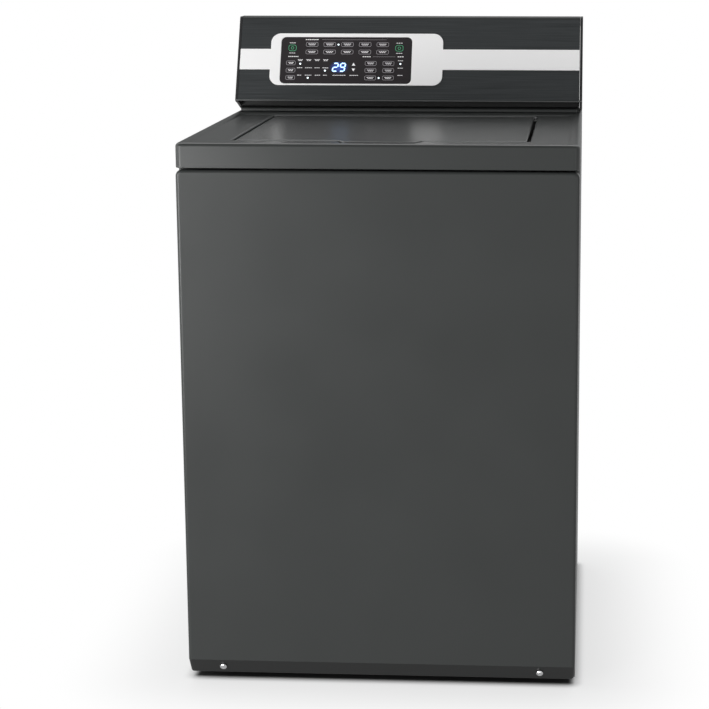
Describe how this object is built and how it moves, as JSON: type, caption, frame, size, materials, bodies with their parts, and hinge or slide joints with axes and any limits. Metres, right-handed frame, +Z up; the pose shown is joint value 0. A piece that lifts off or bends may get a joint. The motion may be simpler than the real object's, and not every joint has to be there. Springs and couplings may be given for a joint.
{
  "type": "top load washing machine",
  "caption": "Dark grey top load washing machine with a sloping touch console, a lift-up lid, and a suspended tub with a belt driven basket and an agitator.",
  "frame": {"origin": "on the floor, under the middle of the bounding box", "axes": "+Z up, -Y is the front, +X is the right of someone who faces the machine"},
  "size_m": [0.651, 0.711, 1.088],
  "materials": {
    "cabinet_paint": "satin dark grey paint",
    "brushed_black": "dark brushed finish",
    "silver_trim": "silver satin plastic",
    "black_touch_panel": "gloss black",
    "galvanised_steel": "zinc coated",
    "stainless_steel": "polished stainless",
    "bright_steel": "bright zinc",
    "white_plastic": "moulded white",
    "grey_plastic": "moulded grey",
    "black_plastic": "moulded black",
    "black_rubber": "matt rubber",
    "circuit_board": "green board",
    "cast_aluminium": "as cast"
  },
  "bodies": {
    "cabinet": {"base_frame": "galvanised_steel", "bleach_cup": "white_plastic", "cabinet_wrap": "cabinet_paint", "console_back_cover": "galvanised_steel", "console_end_cap_left": "black_plastic", "console_end_cap_right": "black_plastic", "console_fascia": "brushed_black", "console_housing": "cabinet_paint", "console_trim_band": "silver_trim", "control_board": "circuit_board", "cord_gland": "black_plastic", "drain_port": "grey_plastic", "fill_hose": "black_rubber", "fill_nozzle": "grey_plastic", "front_panel": "cabinet_paint", "lid_lock_housing": "black_plastic", "rear_cover": "cabinet_paint", "suspension_rod_front_left": "galvanised_steel", "suspension_rod_front_right": "galvanised_steel", "suspension_rod_rear_left": "galvanised_steel", "suspension_rod_rear_right": "galvanised_steel", "suspension_spring_front_left": "bright_steel", "suspension_spring_front_right": "bright_steel", "suspension_spring_rear_left": "bright_steel", "suspension_spring_rear_right": "bright_steel", "toe_screw_left": "bright_steel", "toe_screw_right": "bright_steel", "top_brace_left": "galvanised_steel", "top_brace_right": "galvanised_steel", "top_panel": "cabinet_paint", "touch_panel": "black_touch_panel", "water_valve": "white_plastic"},
    "tub": {"outer_tub": "white_plastic", "tub_cover": "white_plastic", "support_frame": "galvanised_steel", "bearing_housing": "cast_aluminium", "bearing_set": "bright_steel", "motor": "galvanised_steel", "pump_housing": "grey_plastic", "sump_hose": "black_rubber", "drain_hose": "black_rubber", "drive_belt": "black_rubber"},
    "basket": {"wash_basket": "stainless_steel", "balance_ring": "grey_plastic", "basket_hub": "cast_aluminium", "drive_pulley": "cast_aluminium"},
    "agitator_post": {"agitator": "white_plastic", "drive_shaft": "bright_steel"},
    "softener_cup": {"softener_dispenser": "grey_plastic"},
    "motor_rotor": {"motor_pulley": "bright_steel"},
    "pump_rotor": {"pump_impeller": "grey_plastic"},
    "lid": {"lid_outer": "cabinet_paint", "lid_inner": "cabinet_paint", "lid_hinge_pin_left": "bright_steel", "lid_hinge_pin_right": "bright_steel"},
    "lock_bolt": {"lid_lock_bolt": "bright_steel"},
    "leg_front_left": {"leveling_leg_front_left": "black_rubber"},
    "leg_front_right": {"leveling_leg_front_right": "black_rubber"},
    "leg_rear_left": {"leveling_leg_rear_left": "black_rubber"},
    "leg_rear_right": {"leveling_leg_rear_right": "black_rubber"}
  },
  "joints": [
    {"name": "tub_travel", "type": "slide", "parent": "cabinet", "child": "tub", "axis": [0, 0, 1], "range_m": [-0.03, 0.012], "stiffness_N_per_m": 15000, "springref_m": 0.0259, "deforming": ["suspension_spring_front_left", "suspension_spring_front_right", "suspension_spring_rear_left", "suspension_spring_rear_right"]},
    {"name": "basket_spin", "type": "hinge", "parent": "tub", "child": "basket", "pos_m": [0, -0.0205, 0.108], "axis": [0, 0, 1], "continuous": true},
    {"name": "agitator_turn", "type": "hinge", "parent": "basket", "child": "agitator_post", "pos_m": [0, -0.0205, 0.3], "axis": [0, 0, 1], "continuous": true},
    {"name": "softener_lift", "type": "slide", "parent": "agitator_post", "child": "softener_cup", "axis": [0, 0, 1], "range_m": [0, 0.12]},
    {"name": "motor_spin", "type": "hinge", "parent": "tub", "child": "motor_rotor", "pos_m": [0, 0.1795, 0.108], "axis": [0, 0, 1], "continuous": true},
    {"name": "pump_spin", "type": "hinge", "parent": "tub", "child": "pump_rotor", "pos_m": [-0.215, -0.0205, 0.15], "axis": [0, 0, 1], "continuous": true},
    {"name": "lid_hinge", "type": "hinge", "parent": "cabinet", "child": "lid", "pos_m": [0, 0.135, 0.9045], "axis": [-1, 0, 0], "range_deg": [0, 100]},
    {"name": "lock_bolt_slide", "type": "slide", "parent": "cabinet", "child": "lock_bolt", "axis": [-1, 0, 0], "range_m": [0, 0.011]},
    {"name": "leg_turn_front_left", "type": "hinge", "parent": "cabinet", "child": "leg_front_left", "pos_m": [-0.275, -0.2805, 0.02], "axis": [0, 0, 1], "continuous": true},
    {"name": "leg_turn_front_right", "type": "hinge", "parent": "cabinet", "child": "leg_front_right", "pos_m": [0.275, -0.2805, 0.02], "axis": [0, 0, 1], "continuous": true},
    {"name": "leg_turn_rear_left", "type": "hinge", "parent": "cabinet", "child": "leg_rear_left", "pos_m": [-0.275, 0.2795, 0.02], "axis": [0, 0, 1], "continuous": true},
    {"name": "leg_turn_rear_right", "type": "hinge", "parent": "cabinet", "child": "leg_rear_right", "pos_m": [0.275, 0.2795, 0.02], "axis": [0, 0, 1], "continuous": true}
  ],
  "couplings": [
    {"joint": "motor_spin", "follows": "basket_spin", "ratio": 5}
  ]
}
